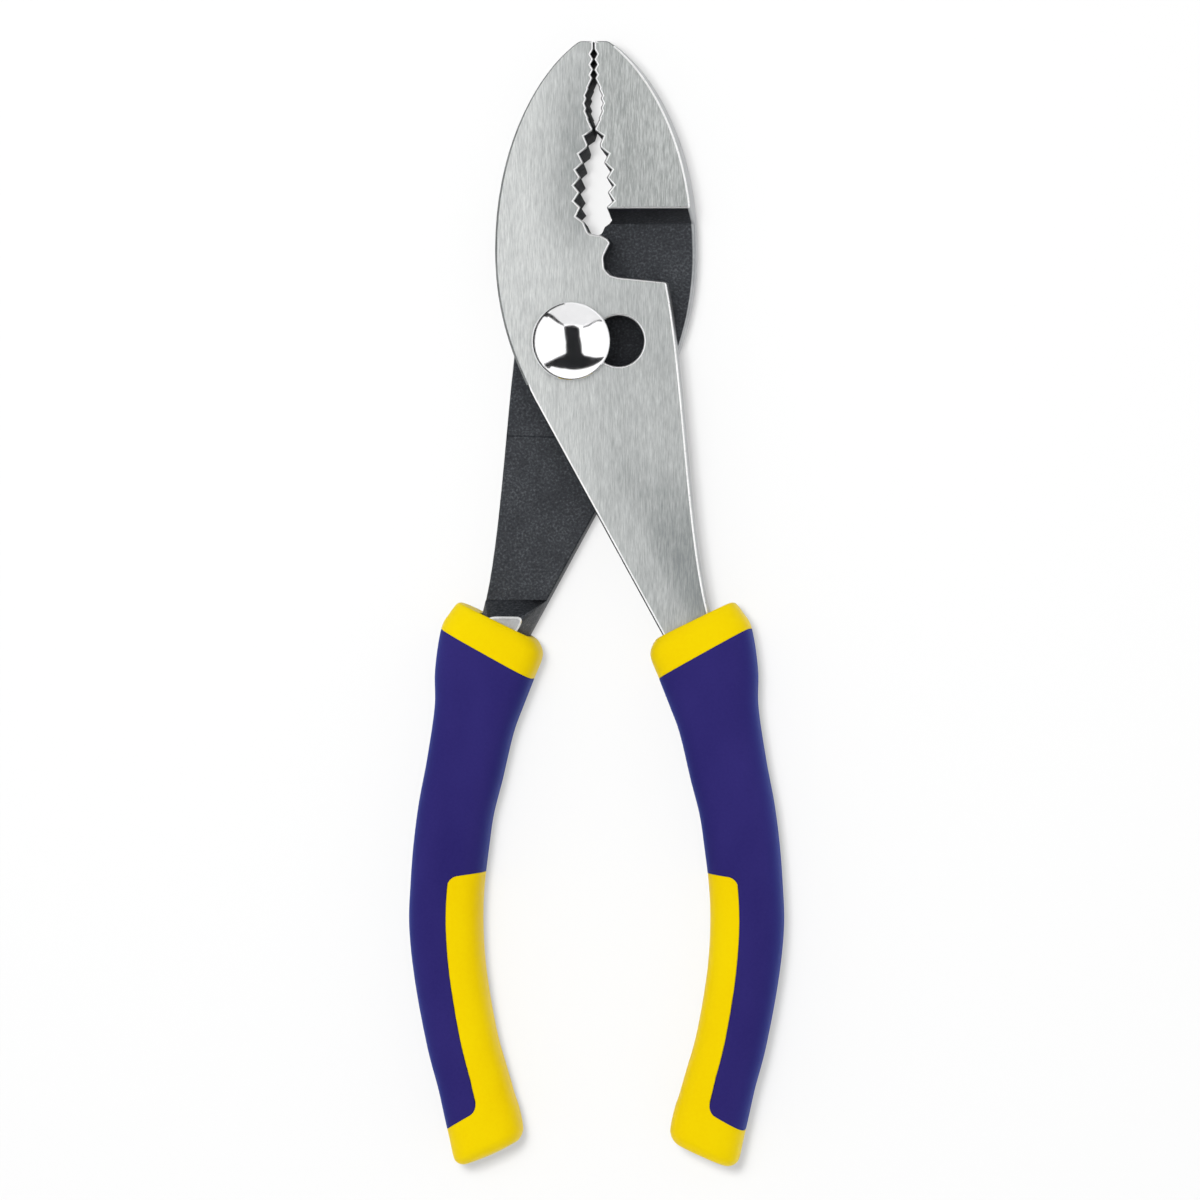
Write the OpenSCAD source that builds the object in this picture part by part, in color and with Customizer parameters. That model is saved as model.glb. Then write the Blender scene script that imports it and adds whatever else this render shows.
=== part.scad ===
// Slip joint pliers: two lapped steel halves on a slipping pivot bolt, with two-colour moulded grips.
// Origin on the pivot axis at the nut's outer face, +Z out of the bolt's head, +Y towards the jaw tips.
// The front half is the rear half turned over about the tool's centreline, but for its pivot hole and
// the slant of its coarse teeth.

/* [Pivot] */
// Diameter of the bolt's domed head
bolt_head_d = 14.3; // [12:0.1:16]
// Height of the bolt's domed head
bolt_head_h = 3.4; // [2.4:0.1:5]
// Height of the straight rim below the dome
bolt_rim_h = 0.6; // [0.3:0.1:1.2]
// Diameter of the shank that sits in the slip slot
shank_d = 8.9; // [7.9:0.1:9.6]
// Width of the shank across its two flats
shank_flat_w = 5.2; // [4:0.1:6.4]
// Diameter of the round journal in the rear half
journal_d = 7.4; // [6.4:0.1:7.8]
// Diameter of the bolt's threaded end
thread_d = 6; // [4.5:0.1:6.2]
// Width of the nut across its flats
nut_af = 11; // [9:0.1:13]
// Height of the nut
nut_h = 2.4; // [1.6:0.1:3.4]
// Distance between the two holes of the slip slot
slip_pitch = 8.6; // [8:0.1:10]

/* [Lap joint] */
// Thickness of each half where the two lap
lap_t = 5; // [4:0.1:6.5]
// Distance from the pivot axis to the tool's centreline
centre_x = 4.1; // [3.4:0.1:4.8]
// Distance from the centreline to the tongue's outer corner
tongue_w = 13.1; // [11.5:0.1:14]
// Height of the tongue's outer corner above the pivot
tongue_y = 10.6; // [9.5:0.1:11.5]
// Clearance between the swinging tongue and the other jaw's step
tongue_clear = 1.1; // [0.6:0.1:1.8]
// Run of the sloped step below the jaw
jaw_step_run = 2.5; // [1:0.1:3.5]
// How far the step above the grip starts above the grip's top
tang_step_rise = 0.7; // [0.3:0.1:1.5]
// Run of the sloped step above the grip
tang_step_run = 3; // [1.5:0.1:4]
// Run of the sloped sides of the raised tang end
tang_side_run = 1.6; // [0.8:0.1:2]

/* [Jaws] */
// Distance from the pivot axis to the jaw tips
jaw_reach = 54; // [50:0.1:60]
// Width of one jaw's tip
tip_w = 2.5; // [1.8:0.1:3.5]
// Distance from the centreline to the widest place of a jaw
head_half_w = 17.9; // [16.5:0.1:20]
// Height of the widest place above the pivot
belly_y = 16.4; // [13:0.1:19]
// Gap between the closed jaws
jaw_gap = 0.12; // [0.1:0.02:0.8]
// Length of the straight toothed nose
nose_len = 7; // [6.2:0.1:8]
// Length of the hollow behind the nose
hollow_len = 8.4; // [7:0.1:9.5]
// Depth of the hollow behind the nose
hollow_depth = 1.3; // [0.8:0.1:1.8]
// Depth of the pipe grip in one jaw
pipe_depth = 2.7; // [2:0.1:3.2]
// How far the wire cutter's nose passes the centreline
cutter_reach = 3; // [2.2:0.1:3.6]
// Height of the wire cutter's nose above the pivot
cutter_y = 17.7; // [16.8:0.1:18.2]

/* [Teeth] */
// Pitch of the fine teeth on the nose
fine_pitch = 1.86; // [1.4:0.02:2.2]
// Depth of the fine teeth on the nose
fine_depth = 0.5; // [0.2:0.05:0.7]
// Pitch of the shallow teeth in the hollow
ripple_pitch = 1.4; // [1:0.1:2]
// Depth of the shallow teeth in the hollow
ripple_depth = 0.3; // [0.1:0.05:0.5]
// Pitch of the coarse teeth in the pipe grip
coarse_pitch = 2.8; // [2.2:0.1:3.4]
// Depth of the coarse teeth in the pipe grip
coarse_depth = 1.05; // [0.7:0.05:1.5]

/* [Tangs] */
// Distance from the centreline to the start of the straight handle edge
waist_w = 10.8; // [9.5:0.1:12]
// Depth of that start below the pivot
waist_y = 10.6; // [8:0.1:13]
// Width of the tang where it enters the collar
tang_root_w = 8.7; // [7.6:0.1:9.2]
// How far the tang's root is set towards the centreline
tang_shift = 0.8; // [0.4:0.1:1.2]
// Width of the tang's stem inside the grip
stem_w = 6.4; // [5:0.1:7]
// Thickness of the tang's stem inside the grip
stem_t = 7; // [5:0.1:8]

/* [Grips] */
// Depth of the grips' tops below the pivot
grip_top_y = 47.3; // [44:0.1:52]
// Length of a grip along the tool
grip_len = 101.2; // [90:0.1:115]
// Distance from the tool's centreline to a grip's middle at its belly
grip_spread = 27.3; // [24:0.1:30]
// Width of a grip at its belly
grip_w = 13.3; // [12.4:0.1:16]
// Width of a grip at its collar
collar_w = 18.8; // [17:0.1:20]
// Thickness of a grip
grip_t = 15; // [14:0.1:17]
// Thickness of the soft sleeve over the grip's core
sleeve_t = 1.2; // [0.8:0.1:1.5]

/* [Hidden] */
$fn = 96;

// Clearances and overruns
lap_gap = 0.1;
seat_gap = 0.05;
slip_clear = 0.1;
journal_clear = 0.05;
thread_clear = 0.02;
stem_clear = 0.05;
cut_over = 1;

// How far the bolt's end lies inside the nut, as a share of the nut's height, and the nut's chamfer
bolt_end_share = 0.125;
nut_chamfer = 0.7;

// Heights of the layers
steel_t = 2 * lap_t + lap_gap;
z_back = nut_h + seat_gap;
z_mid = z_back + steel_t / 2;
z_front = z_back + steel_t;

// Heights along the jaws, measured from the pivot
jaw_step_y = norm([tongue_w + centre_x, tongue_y]) + tongue_clear;
nose_end_y = jaw_reach - nose_len;
hollow_end_y = nose_end_y - hollow_len;
face_x = jaw_gap / 2;

// Outline curves: handles of each curve as shares of the curve's own width and height
jaw_curve_shares = [[0.44, 0.12], [1, 0.47]];
belly_curve_shares = [[0, 0.5], [0.67, 0.83]];
handle_curve_shares = [[0.41, 0.28], [0.48, 0.8]];
pipe_curve_shares = [[0.73, 0.25], [2, 0.62]];
pipe_end_share = 0.67;
curve_steps = 18;

// Corner points of the wire cutter, as shares of its reach past the centreline and of its height,
// from the pipe grip's lower end down to the tongue
cutter_shares = [
  [-0.48, 1.165], [-0.29, 1.095], [0.45, 1.075], [0.81, 1.045], [1, 1],
  [0.58, 0.853], [0.64, 0.735], [0.99, 0.672], [1.47, 0.65]
];
pipe_end_y_share = 1.225;
pipe_end_y = cutter_y * pipe_end_y_share;

// Teeth
groove_land_share = 0.08;
coarse_slant_share = 0.5;
tip_land_share = 0.55;
pipe_lead_share = 0.195;
pipe_tail_share = 0.02;
pipe_ease_power = 0.85;

// Stations along a grip, from the collar's top to the heel. Middle line: across as shares of the spread,
// down as shares of the length. Width and thickness: shares of the belly's, and of the collar's above it.
grip_middle_shares = [
  [0.654, 0.03], [0.665, 0.053], [0.724, 0.089], [0.781, 0.151], [0.815, 0.208], [0.876, 0.295],
  [0.941, 0.378], [0.987, 0.488], [1, 0.57], [0.97, 0.665], [0.896, 0.776], [0.822, 0.85],
  [0.772, 0.904], [0.743, 0.932], [0.716, 0.965], [0.702, 0.981]
];
collar_width_shares = [0.833, 0.964, 1, 0.904, 0.787];
grip_width_shares = [1.045, 1.008, 1.01, 0.992, 0.962, 0.947, 0.955, 1.015, 1.03, 1, 0.84];
grip_thick_shares = [
  0.8, 0.95, 1, 0.985, 0.96, 0.95, 0.96, 0.99, 1, 0.99, 0.97, 0.97, 0.98, 0.97, 0.93, 0.72
];
// Tilt of each station in degrees
grip_tilts = [26, 25.5, 29, 23, 19.5, 15, 10, -8, -8.5, -13, -16, -19, -30, -28, -25, -24];
station_count = len(grip_middle_shares);
collar_count = len(collar_width_shares);
station_steps = 2;
ring_count = (station_count - 1) * station_steps + 1;

// Stations where the colours meet: collar's foot, top of the palm strip, top of the heel
collar_station = 2;
palm_station = 7;
heel_station = 12;

// Stations where the tang's shoulder seats, where its stem runs in the middle, and where it ends
shoulder_station = 1;
centred_station = 4;
stem_station = 12;

// How far the stem reaches back into the tang's root, in stations
stem_root_share = 0.3;

// How far the socket's outline follows the tang's edges out of the collar
socket_share = 0.2;
socket_points = 3;

// Section of a grip: a rounded square, squarer at the collar, with the colour boundary outside its middle
section_powers = [3.6, 3.6, 3.5, 3.3, 3.2, 3.1, 3.1, 3.1, 3.1, 3.1, 3.1, 3.1, 3.1, 3.1, 3.1, 3.1];
palm_angle = 92.2;
section_cells = 24;
sleeve_cells = section_cells / 2;

// Point on a cubic curve from a to b with two handles given as shares of its width and height
function curve_point(a, b, shares, t) =
  let (
    span = b - a,
    h1 = [a.x + span.x * shares[0].x, a.y + span.y * shares[0].y],
    h2 = [a.x + span.x * shares[1].x, a.y + span.y * shares[1].y],
    s = 1 - t
  )
  s ^ 3 * a + 3 * s ^ 2 * t * h1 + 3 * s * t ^ 2 * h2 + t ^ 3 * b;

function curve(a, b, shares) = [for (i = [0:curve_steps]) curve_point(a, b, shares, i / curve_steps)];

// List without its first point, for joining curves that share an end
function after_first(points) = [for (i = [1:len(points) - 1]) points[i]];
function reversed(points) = [for (i = [len(points) - 1:-1:0]) points[i]];

// Smooth value between the listed ones, at a place counted in list steps
function entry(list, i) = list[max(0, min(len(list) - 1, i))];
function smooth_at(list, place) =
  let (
    i = min(floor(place), len(list) - 2),
    t = place - i,
    a = entry(list, i - 1),
    b = entry(list, i),
    c = entry(list, i + 1),
    d = entry(list, i + 2)
  )
  b + t * (c - a) / 2 + t ^ 2 * (2 * a - 5 * b + 4 * c - d) / 2 + t ^ 3 * (3 * b - a - 3 * c + d) / 2;

// Grip stations in the half's own plan, where the jaw is on +X and the handle on -X
station_middles = [
  for (share = grip_middle_shares) [-share.x * grip_spread, -grip_top_y - share.y * grip_len]
];
station_half_widths = [
  for (i = [0:station_count - 1])
    i < collar_count ? collar_width_shares[i] * collar_w / 2
      : grip_width_shares[i - collar_count] * grip_w / 2
];
station_half_thicks = [for (share = grip_thick_shares) share * grip_t / 2];

function middle_at(place) = smooth_at(station_middles, place);
function across_at(place) =
  let (tilt = smooth_at(grip_tilts, place))
  [-cos(tilt), sin(tilt)];
function along_at(place) =
  let (across = across_at(place))
  [-across.y, across.x];

// Point beside the grip's middle line, offset positive away from the tool's centreline
function beside(place, offset) = middle_at(place) + offset * across_at(place);

// Outline of one half down to the tang's shoulder
tip_corner = [face_x + tip_w, jaw_reach];
belly_point = [head_half_w, belly_y];
waist_point = [waist_w, -waist_y];
tongue_point = [-tongue_w, tongue_y];
root_inner = beside(shoulder_station, -tang_root_w / 2 - tang_shift);
root_outer = beside(shoulder_station, tang_root_w / 2 - tang_shift);
pipe_top = [face_x, hollow_end_y];
pipe_foot = [face_x + pipe_depth * pipe_end_share, pipe_end_y];

function pipe_at(t) = curve_point(pipe_top, pipe_foot, pipe_curve_shares, t);
function hollow_at(t) = [face_x + hollow_depth * sin(180 * t), nose_end_y - hollow_len * t];
cutter_points = [for (share = cutter_shares) [-share.x * cutter_reach, share.y * cutter_y]];

handle_edge = curve(tongue_point, root_outer, handle_curve_shares);

function half_outline() = concat(
  curve(tip_corner, belly_point, jaw_curve_shares),
  after_first(curve(belly_point, waist_point, belly_curve_shares)),
  [root_inner],
  reversed(handle_edge),
  reversed(cutter_points),
  [for (i = [curve_steps:-1:0]) pipe_at(i / curve_steps)],
  [for (i = [curve_steps - 1:-1:0]) hollow_at(i / curve_steps)],
  [[face_x, jaw_reach]]
);

// Outline of the tang's stem inside the grip, which leaves the root's offset behind as it goes down
function stem_shift(place) =
  -tang_shift * max(0, 1 - (place - shoulder_station) / (centred_station - shoulder_station));
function stem_places() = concat(
  [shoulder_station - stem_root_share],
  [for (i = [shoulder_station * station_steps:stem_station * station_steps]) i / station_steps]
);
function stem_outline(clear) = concat(
  [for (place = stem_places()) beside(place, stem_shift(place) + stem_w / 2 + clear)],
  [for (place = reversed(stem_places())) beside(place, stem_shift(place) - stem_w / 2 - clear)]
);

// Outline of the tang's root in the collar, from the half's own edges
function socket_outline(clear) =
  let (
    out = clear * across_at(shoulder_station),
    down = clear * along_at(shoulder_station)
  )
  concat(
    [root_inner + socket_share * (waist_point - root_inner) - out, root_inner - out + down],
    [root_outer + out + down],
    [for (i = [0:socket_points]) handle_edge[curve_steps - i] + out]
  );

// V-shaped groove across a gripping face, at a point with the way into the metal as an angle
module groove(point, inward, depth, pitch, slant) {
  half_mouth = pitch * (1 - groove_land_share) / 2;
  over_half = half_mouth * (depth + cut_over) / depth;
  translate(point)
    rotate([slant, 0, inward])
      linear_extrude(2 * steel_t, center = true)
        polygon([[depth, 0], [-cut_over, over_half], [-cut_over, -over_half]]);
}

// Teeth of the nose, the hollow and the pipe grip
module nose_grooves() {
  count = floor((nose_len - tip_land_share * tip_w) / fine_pitch);
  for (i = [0:count - 1])
    groove([face_x, nose_end_y + (i + 1 / 2) * fine_pitch], 0, fine_depth, fine_pitch, 0);
}

module hollow_grooves() {
  count = floor(hollow_len / ripple_pitch) - 1;
  for (i = [0:count - 1])
    groove(hollow_at((i + 1) / (count + 1)), 0, ripple_depth, ripple_pitch, 0);
}

module pipe_grooves(lean) {
  run = norm(pipe_foot - pipe_top);
  count = floor(run / coarse_pitch);
  spacing = (1 - pipe_lead_share - pipe_tail_share) / (count - 1);
  slant = lean * atan(coarse_slant_share * coarse_pitch / steel_t);
  nudge = spacing / 4;
  for (i = [0:count - 1]) {
    t = pipe_lead_share + (count - 1) * spacing * (i / (count - 1)) ^ pipe_ease_power;
    step = pipe_at(t + nudge) - pipe_at(t - nudge);
    groove(pipe_at(t), atan2(step.x, -step.y), coarse_depth, spacing * run, slant);
  }
}

// Pocket that takes the other half, with sloped ends below the jaw and above the grip
pocket_rise = lap_t + lap_gap + cut_over;
rise_share = pocket_rise / (lap_t + lap_gap);
tang_step_y = grip_top_y - tang_step_rise;

module lap_pocket() {
  rotate([90, 0, 90])
    linear_extrude(4 * head_half_w, center = true)
      polygon([
        [jaw_step_y, -lap_gap / 2],
        [jaw_step_y + jaw_step_run * rise_share, pocket_rise - lap_gap / 2],
        [-tang_step_y - tang_step_run * rise_share, pocket_rise - lap_gap / 2],
        [-tang_step_y, -lap_gap / 2]
      ]);
}

// Cut that slopes one side of the raised tang end, from its root up past the step. The side is 1 where
// the metal lies left of that edge on its way up, and -1 where it lies right.
module side_slope(root, towards, side) {
  run = towards - root;
  length = (-root.y - tang_step_y + cut_over) * norm(run) / run.y;
  translate([root.x, root.y, -lap_gap / 2])
    rotate([90, 0, atan2(run.y, run.x) + 90])
      linear_extrude(length)
        polygon([
          [0, 0],
          [-side * cut_over, 0],
          [-side * cut_over, pocket_rise],
          [side * tang_side_run * rise_share, pocket_rise]
        ]);
}

// Forged half in its own frame: centreline at x = 0, mid-plane at z = 0, lap face up, jaw on +X.
// The lean, 1 or -1, is the side that the pipe grip's teeth slant to.
module half_blank(lean) {
  difference() {
    union() {
      linear_extrude(steel_t, center = true) polygon(half_outline());
      linear_extrude(stem_t, center = true) polygon(stem_outline(0));
    }
    lap_pocket();
    side_slope(root_inner, waist_point, 1);
    side_slope(root_outer, handle_edge[curve_steps - socket_points], -1);
    nose_grooves();
    hollow_grooves();
    pipe_grooves(lean);
  }
}

// Places a half's own frame: the rear half as it is, the front half turned over
module rear_frame() {
  translate([centre_x, 0, z_mid]) children();
}

module front_frame() {
  translate([centre_x, 0, z_mid]) rotate([0, 180, 0]) children();
}

module front_half() {
  slot_d = shank_d + 2 * slip_clear;
  neck_w = shank_flat_w + 2 * slip_clear;
  color([0.78, 0.79, 0.78])
    difference() {
      front_frame() half_blank(1);
      for (x = [0, slip_pitch])
        translate([x, 0, 0]) cylinder(d = slot_d, h = z_front + cut_over);
      translate([0, -neck_w / 2, 0]) cube([slip_pitch, neck_w, z_front + cut_over]);
    }
}

module rear_half() {
  color([0.5, 0.51, 0.52])
    difference() {
      rear_frame() half_blank(-1);
      cylinder(d = journal_d + 2 * journal_clear, h = z_front + cut_over);
    }
}

module pivot_bolt() {
  head_z = z_front + seat_gap;
  dome_h = bolt_head_h - bolt_rim_h;
  dome_r = (bolt_head_d ^ 2 / 4 + dome_h ^ 2) / (2 * dome_h);
  shank_z = z_back + lap_t + seat_gap;
  end_z = nut_h * bolt_end_share;
  color([0.9, 0.9, 0.92]) {
    intersection() {
      translate([0, 0, head_z]) cylinder(d = bolt_head_d, h = bolt_head_h);
      translate([0, 0, head_z + bolt_head_h - dome_r]) sphere(r = dome_r);
    }
    intersection() {
      translate([0, 0, shank_z]) cylinder(d = shank_d, h = head_z - shank_z);
      translate([-shank_d, -shank_flat_w / 2, shank_z])
        cube([2 * shank_d, shank_flat_w, head_z - shank_z]);
    }
    translate([0, 0, z_back]) cylinder(d = journal_d, h = shank_z - z_back);
    translate([0, 0, end_z]) cylinder(d = thread_d, h = z_back - end_z);
  }
}

module pivot_nut() {
  corner_d = nut_af / cos(30);
  color([0.72, 0.72, 0.73])
    difference() {
      intersection() {
        cylinder(d = corner_d, h = nut_h, $fn = 6);
        cylinder(d1 = corner_d - 2 * nut_chamfer, d2 = corner_d + 2 * nut_h, h = nut_h + nut_chamfer);
      }
      translate([0, 0, -cut_over]) cylinder(d = thread_d + 2 * thread_clear, h = nut_h + 2 * cut_over);
    }
}

// Angle of a section line: the first half of the cells lies outside the colour boundary
function section_angle(j) =
  j <= sleeve_cells ? -palm_angle + 2 * palm_angle * j / sleeve_cells
    : palm_angle + (360 - 2 * palm_angle) * (j - sleeve_cells) / (section_cells - sleeve_cells);

function rounded(value, power) = sign(value) * abs(value) ^ (2 / power);

// Point of a grip's skin, or of the face between sleeve and core when inset
function skin_point(ring, j, inset) =
  let (
    place = ring / station_steps,
    half_w = smooth_at(station_half_widths, place) - inset,
    half_t = smooth_at(station_half_thicks, place) - inset,
    power = smooth_at(section_powers, place),
    angle = section_angle(j),
    plan = beside(place, half_w * rounded(cos(angle), power))
  )
  [plan.x, plan.y, half_t * rounded(sin(angle), power)];

// True where a cell of the skin belongs to the soft sleeve
function in_sleeve(ring, j) =
  ring >= collar_station * station_steps && ring < heel_station * station_steps
    && (ring < palm_station * station_steps || j < sleeve_cells);

// All points of a grip: the skin first, then the inset face, then the two end centres
skin_points = [
  for (inset = [0, sleeve_t])
    for (ring = [0:ring_count - 1])
      for (j = [0:section_cells - 1]) skin_point(ring, j, inset)
];
end_points = [
  for (ring = [0, ring_count - 1])
    let (middle = middle_at(ring / station_steps)) [middle.x, middle.y, 0]
];
grip_points = concat(skin_points, end_points);
first_end = 2 * ring_count * section_cells;

function at(layer, ring, j) = (layer * ring_count + ring) * section_cells + j % section_cells;

// A four-cornered face as two triangles
function two_triangles(a, b, c, d) = [[a, b, c], [a, c, d]];
function turned(faces) = [for (face = faces) [face[2], face[1], face[0]]];

function cell_faces(layer, ring, j) =
  two_triangles(
    at(layer, ring, j), at(layer, ring, j + 1), at(layer, ring + 1, j + 1), at(layer, ring + 1, j)
  );

// Walls between the skin and the inset face, along the edges where the sleeve ends
function end_wall(ring, j) =
  two_triangles(at(0, ring, j), at(1, ring, j), at(1, ring, j + 1), at(0, ring, j + 1));
function side_wall(ring, j) =
  two_triangles(at(0, ring, j), at(0, ring + 1, j), at(1, ring + 1, j), at(1, ring, j));

function joined(lists) = [for (list = lists) for (item = list) item];
cells = [for (ring = [0:ring_count - 2]) for (j = [0:section_cells - 1]) [ring, j]];

function previous_cell(j) = (j + section_cells - 1) % section_cells;
sleeve_walls = concat(
  joined([
    for (cell = cells)
      if (in_sleeve(cell[0], cell[1]) && !in_sleeve(cell[0] - 1, cell[1]))
        end_wall(cell[0], cell[1])
  ]),
  joined([
    for (cell = cells)
      if (in_sleeve(cell[0] - 1, cell[1]) && !in_sleeve(cell[0], cell[1]))
        turned(end_wall(cell[0], cell[1]))
  ]),
  joined([
    for (cell = cells)
      if (in_sleeve(cell[0], cell[1]) && !in_sleeve(cell[0], previous_cell(cell[1])))
        side_wall(cell[0], cell[1])
  ]),
  joined([
    for (cell = cells)
      if (!in_sleeve(cell[0], cell[1]) && in_sleeve(cell[0], previous_cell(cell[1])))
        turned(side_wall(cell[0], cell[1]))
  ])
);

sleeve_faces = concat(
  joined([for (cell = cells) if (in_sleeve(cell[0], cell[1])) cell_faces(0, cell[0], cell[1])]),
  joined([for (cell = cells) if (in_sleeve(cell[0], cell[1])) turned(cell_faces(1, cell[0], cell[1]))]),
  sleeve_walls
);

core_faces = concat(
  joined([
    for (cell = cells) cell_faces(in_sleeve(cell[0], cell[1]) ? 1 : 0, cell[0], cell[1])
  ]),
  turned(sleeve_walls),
  [for (j = [0:section_cells - 1]) [first_end, at(0, 0, j + 1), at(0, 0, j)]],
  [
    for (j = [0:section_cells - 1])
      [first_end + 1, at(0, ring_count - 1, j), at(0, ring_count - 1, j + 1)]
  ]
);

module grip_solid(faces) {
  polyhedron(points = grip_points, faces = faces);
}

// Hard core in the half's own frame, with the socket for the tang
module grip_core() {
  difference() {
    grip_solid(core_faces);
    linear_extrude(stem_t + 2 * stem_clear, center = true) polygon(stem_outline(stem_clear));
    linear_extrude(steel_t + 2 * stem_clear, center = true) polygon(socket_outline(stem_clear));
  }
}

module left_grip_core() {
  color([0.96, 0.83, 0.08]) rear_frame() grip_core();
}

module left_grip_sleeve() {
  color([0.19, 0.18, 0.43]) rear_frame() grip_solid(sleeve_faces);
}

module right_grip_core() {
  color([0.96, 0.83, 0.08]) front_frame() grip_core();
}

module right_grip_sleeve() {
  color([0.19, 0.18, 0.43]) front_frame() grip_solid(sleeve_faces);
}

front_half();
rear_half();
pivot_bolt();
pivot_nut();
left_grip_core();
left_grip_sleeve();
right_grip_core();
right_grip_sleeve();
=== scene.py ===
from math import acos, asin, copysign, cos, degrees, pi, radians, sin, sqrt, tan

import bmesh
import bpy
from mathutils import Matrix, Vector


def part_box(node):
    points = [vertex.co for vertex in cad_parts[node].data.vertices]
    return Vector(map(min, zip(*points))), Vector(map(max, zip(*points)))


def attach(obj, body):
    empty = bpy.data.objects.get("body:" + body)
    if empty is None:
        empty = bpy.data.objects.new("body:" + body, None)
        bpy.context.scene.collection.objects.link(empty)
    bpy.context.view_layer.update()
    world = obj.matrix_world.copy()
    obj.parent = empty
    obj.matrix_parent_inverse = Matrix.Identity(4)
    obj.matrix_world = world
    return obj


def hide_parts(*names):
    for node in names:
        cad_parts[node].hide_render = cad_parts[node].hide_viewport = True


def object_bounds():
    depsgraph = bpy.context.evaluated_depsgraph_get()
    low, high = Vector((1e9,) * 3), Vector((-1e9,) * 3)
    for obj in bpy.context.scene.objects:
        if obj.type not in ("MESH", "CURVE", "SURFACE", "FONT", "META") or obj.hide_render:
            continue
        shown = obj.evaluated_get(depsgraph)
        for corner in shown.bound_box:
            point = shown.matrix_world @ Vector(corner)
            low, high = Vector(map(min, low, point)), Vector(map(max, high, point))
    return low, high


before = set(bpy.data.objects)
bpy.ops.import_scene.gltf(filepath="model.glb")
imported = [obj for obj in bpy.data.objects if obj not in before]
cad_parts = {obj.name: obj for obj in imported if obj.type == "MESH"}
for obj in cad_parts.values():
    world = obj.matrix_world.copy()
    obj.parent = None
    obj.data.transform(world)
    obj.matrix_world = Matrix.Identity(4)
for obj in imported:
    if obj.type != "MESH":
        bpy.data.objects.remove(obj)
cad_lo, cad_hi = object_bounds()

scene = bpy.context.scene
scene.view_settings.view_transform = "Standard"

MM = 0.001
WHITE = (1, 1, 1, 1)

# Sizes read from the frame
_, front_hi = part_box("front_half")
rear_lo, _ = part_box("rear_half")
bolt_lo, bolt_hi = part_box("pivot_bolt")
nut_lo, nut_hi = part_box("pivot_nut")
core_lo, core_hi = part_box("left_grip_core")
_, other_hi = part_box("right_grip_core")
centre_x = (core_lo.x + other_hi.x) / 2
z_back, z_front = rear_lo.z, front_hi.z
z_mid = (z_back + z_front) / 2


# Shader helpers. A place in a material is a place in the part's own frame.

# Sockets of a Mix node
MIX_SHARE = 0
NUMBER_A, NUMBER_B, NUMBER_OUT = 2, 3, 0
COLOUR_A, COLOUR_B, COLOUR_OUT = 6, 7, 2


def add(tree, kind, **values):
    """A shader node. Each value sets the property or the input socket of its name."""
    node = tree.nodes.new(kind)
    for key, value in values.items():
        if hasattr(node, key):
            setattr(node, key, value)
        else:
            node.inputs[key.replace("_", " ")].default_value = value
    return node


def link(output, socket):
    """Joins two sockets. A socket's id_data is the tree that it is in."""
    output.id_data.links.new(output, socket)


def start(name, **sockets):
    """A material, its node tree and its Principled shader with these values on its sockets."""
    mat = bpy.data.materials.new(name)
    mat.use_nodes = True
    shader = mat.node_tree.nodes["Principled BSDF"]
    for key, value in sockets.items():
        shader.inputs[key.replace("_", " ")].default_value = value
    return mat, mat.node_tree, shader


def scaled_noise(tree, scale, detail=3.0, rough=0.55):
    """Noise with a scale of its own along each axis, in grains to a metre."""
    where = add(tree, "ShaderNodeTexCoord")
    stretch = add(tree, "ShaderNodeMapping", Scale=scale)
    noise = add(tree, "ShaderNodeTexNoise", Scale=1.0, Detail=detail, Roughness=rough)
    link(where.outputs["Object"], stretch.inputs["Vector"])
    link(stretch.outputs["Vector"], noise.inputs["Vector"])
    return noise.outputs["Fac"]


def blended(a, b, share):
    """The value a with a share of b."""
    mix = add(a.id_data, "ShaderNodeMix", data_type="FLOAT")
    mix.inputs[MIX_SHARE].default_value = share
    link(a, mix.inputs[NUMBER_A])
    link(b, mix.inputs[NUMBER_B])
    return mix.outputs[NUMBER_OUT]


def joined(operation, a, b):
    node = add(a.id_data, "ShaderNodeMath", operation=operation)
    link(a, node.inputs[0])
    link(b, node.inputs[1])
    return node.outputs[0]


def ramp(value, stops):
    """A value turned into a colour, from stops of (value, colour)."""
    node = add(value.id_data, "ShaderNodeValToRGB")
    steps = node.color_ramp.elements
    while len(steps) < len(stops):
        steps.new(0.5)
    for step, (place, colour) in zip(steps, stops):
        step.position = place
        step.color = (*colour, 1)
    link(value, node.inputs["Fac"])
    return node.outputs["Color"]


def spread(value, low, high, first=0.3, last=0.7):
    """A value's range from first to last, laid over low to high."""
    node = add(value.id_data, "ShaderNodeMapRange", From_Min=first, From_Max=last, To_Min=low, To_Max=high)
    link(value, node.inputs["Value"])
    return node.outputs["Result"]


def faded(share, at_none, at_all):
    """A value that goes from one number to another as a share goes from 0 to 1."""
    return spread(share, at_none, at_all, 0.0, 1.0)


def smooth_share(tree, operation, vector, low, high):
    """0 to 1, smoothly, as an operation on the place and a vector goes from low to high."""
    where = add(tree, "ShaderNodeTexCoord")
    measure = add(tree, "ShaderNodeVectorMath", operation=operation)
    measure.inputs[1].default_value = vector
    share = add(tree, "ShaderNodeMapRange", interpolation_type="SMOOTHSTEP", From_Min=low, From_Max=high)
    link(where.outputs["Object"], measure.inputs[0])
    link(measure.outputs["Value"], share.inputs["Value"])
    return share.outputs["Result"]


def across(tree, way, low, high):
    """0 to 1 from low to high along a way, in metres."""
    return smooth_share(tree, "DOT_PRODUCT", way, low, high)


def near_spot(tree, spot, inner, outer):
    """1 within a distance of a spot, falling to 0 further out."""
    return smooth_share(tree, "DISTANCE", spot, outer, inner)


def coloured(shader, tone, stops):
    link(ramp(tone, stops), shader.inputs["Base Color"])


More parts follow.
